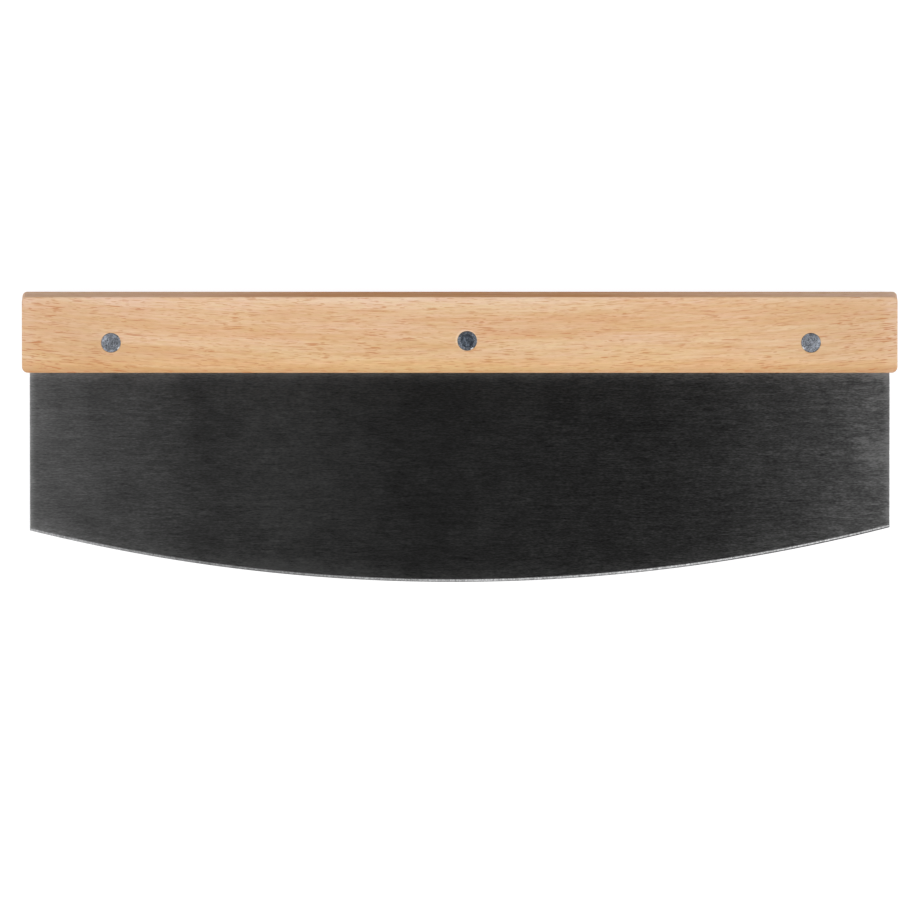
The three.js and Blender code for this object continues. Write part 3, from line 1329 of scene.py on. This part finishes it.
for number, (side, place) in enumerate(rivet_places.items()):
    is_turned = side in turned_rivets
    base = middle_colour if is_turned else outer_colour
    seed = first_seed + seed_step * number
    metal = make_rivet_metal(side + "_rivet_metal", base, place, seed, glint_way=glint_ways[side])
    dish_metal = make_rivet_metal(
        side + "_dish_metal", dish_colour, place, seed, shade_from=dish_shade_from
    )
    coat(pins[side], metal)
    coat(sleeves[side], metal, dish_metal)

    # The dish is found by its place: near the rivet's axis, and just below the head's face.
    dish_level = (head_face - dish_depth / 2) * (1 if is_turned else -1)
    for face in sleeves[side].data.polygons:
        middle = world_to_knife(face.center)
        off_axis = (middle.xy - place.xy).length
        if off_axis < dish_radius and abs(middle.z - dish_level) < dish_depth * 0.75:
            face.material_index = 1
print("Rivets:", len(rivet_halves), "halves finished")

# %% [markdown]
# ## The table
#
# The table is a plain white sheet. It has to look white and still take the knife's shadow.
# Part of its whiteness is ordinary diffuse colour, which darkens in the shadow, and the rest
# is a glow that only the camera, mirrors and glass see, so it adds no light to the knife.

# %% Lay the table
table_radius = 14.0
table_glow = 0.86
table_colour = 0.27

bpy.ops.object.select_all(action="DESELECT")
bpy.ops.mesh.primitive_circle_add(vertices=96, radius=table_radius, fill_type="NGON")
table = bpy.context.active_object
table.name = "table"


def seen_directly(tree):
    """1 for what the camera sees, directly or in metal or glass, and 0 for light on things."""
    path = tree.nodes.new("ShaderNodeLightPath")
    mirrored = calculate(
        tree, "MAXIMUM", path.outputs["Is Glossy Ray"], path.outputs["Is Transmission Ray"]
    )
    return calculate(tree, "MAXIMUM", path.outputs["Is Camera Ray"], mirrored)


table_paint, tree, shader = new_material("white_table")
shader.inputs["Base Color"].default_value = (table_colour, table_colour, table_colour, 1)
shader.inputs["Roughness"].default_value = 0.9
shader.inputs["Specular IOR Level"].default_value = 0.0
shader.inputs["Emission Color"].default_value = (1, 1, 1, 1)
glow = calculate(tree, "MULTIPLY", seen_directly(tree), table_glow)
plug(tree, glow, shader.inputs["Emission Strength"])
coat(table, table_paint)
print("Table:", 2 * table_radius, "m across")

# %% [markdown]
# ## The light
#
# Brushed steel shows what is above it. The blade in the picture is dark, so the studio is
# dark overhead and bright round the horizon, and its big soft boxes stand left and right, out
# of the blade's reflection. The room's light is a smooth change from the horizon upwards.

# %% Light the room
room_horizon = 0.95
room_zenith = 0.02

world = bpy.data.worlds.new("studio")
bpy.context.scene.world = world
world.use_nodes = True
tree = world.node_tree
sky = tree.nodes.new("ShaderNodeTexCoord")
direction = split(tree, sky.outputs["Generated"])
brightness = between(tree, direction[2], 0.4, 0.82, room_horizon, room_zenith)
background = tree.nodes["Background"]
background.inputs["Color"].default_value = (1, 1, 1, 1)
plug(tree, brightness, background.inputs["Strength"])
print("Room: from", room_horizon, "at the horizon to", room_zenith, "overhead")


# %% Hang the soft boxes
def new_lamp(name, place, size, power):
    """A rectangular lamp, which looks straight down until it is turned."""
    light = bpy.data.lights.new(name, "AREA")
    light.shape = "RECTANGLE"
    light.size, light.size_y = size
    light.energy = power
    lamp = bpy.data.objects.new(name, light)
    lamp.location = place
    bpy.context.collection.objects.link(lamp)
    return lamp


soft_box_place = Vector((1.25, -0.15, 1.1))
soft_box_size = (1.0, 1.0)
soft_box_power = 14.2

for name, side in (("left_soft_box", -1), ("right_soft_box", 1)):
    place = soft_box_place * Vector((side, 1, 1))
    lamp = new_lamp(name, place, soft_box_size, soft_box_power)
    lamp.rotation_euler = (-lamp.location).to_track_quat("-Z", "Y").to_euler()
    print(name, "gives", soft_box_power, "W")

# %% [markdown]
# The blade gets lighter towards both ends, because it mirrors something bright that hangs
# just beyond them. A photographer uses white cards for this. Here they are two low lamps that
# only show in glossy surfaces, so they draw this sheen and leave the wood evenly lit.

# %% Hang the reflection cards
card_size = (0.3, 0.8)
card_x = 0.35
card_y = -0.12
card_height = 0.5
left_card_level = 1.3
right_card_level = 1.05

for name, side, level in (
    ("left_card", -1, left_card_level),
    ("right_card", 1, right_card_level),
):
    place = (side * card_x, card_y, card_height)
    power = level * math.pi * card_size[0] * card_size[1]
    card = new_lamp(name, place, card_size, power)
    card.visible_diffuse = False
    print(name, "glows at", level)

# %% [markdown]
# ## The camera
#
# The picture was taken from straight above with a very long lens: nothing in it tapers. The
# camera stands 12 m over the table with a lens that frames 374 mm of it.

# %% Set up the camera
picture_width = 374.24 * mm
camera_height = 12.0
framed_height = 15 * mm
camera_x = 0.12 * mm
camera_y = -9.43 * mm

lens = bpy.data.cameras.new("overhead")
lens.sensor_width = 36
lens.lens = lens.sensor_width * (camera_height - framed_height) / picture_width
lens.clip_start = 0.1
lens.clip_end = 100
camera = bpy.data.objects.new("overhead", lens)
camera.location = (camera_x, camera_y, camera_height)
bpy.context.collection.objects.link(camera)
bpy.context.scene.camera = camera
bpy.context.scene.view_settings.view_transform = "Standard"
print("Camera: a lens of", round(lens.lens), "mm")
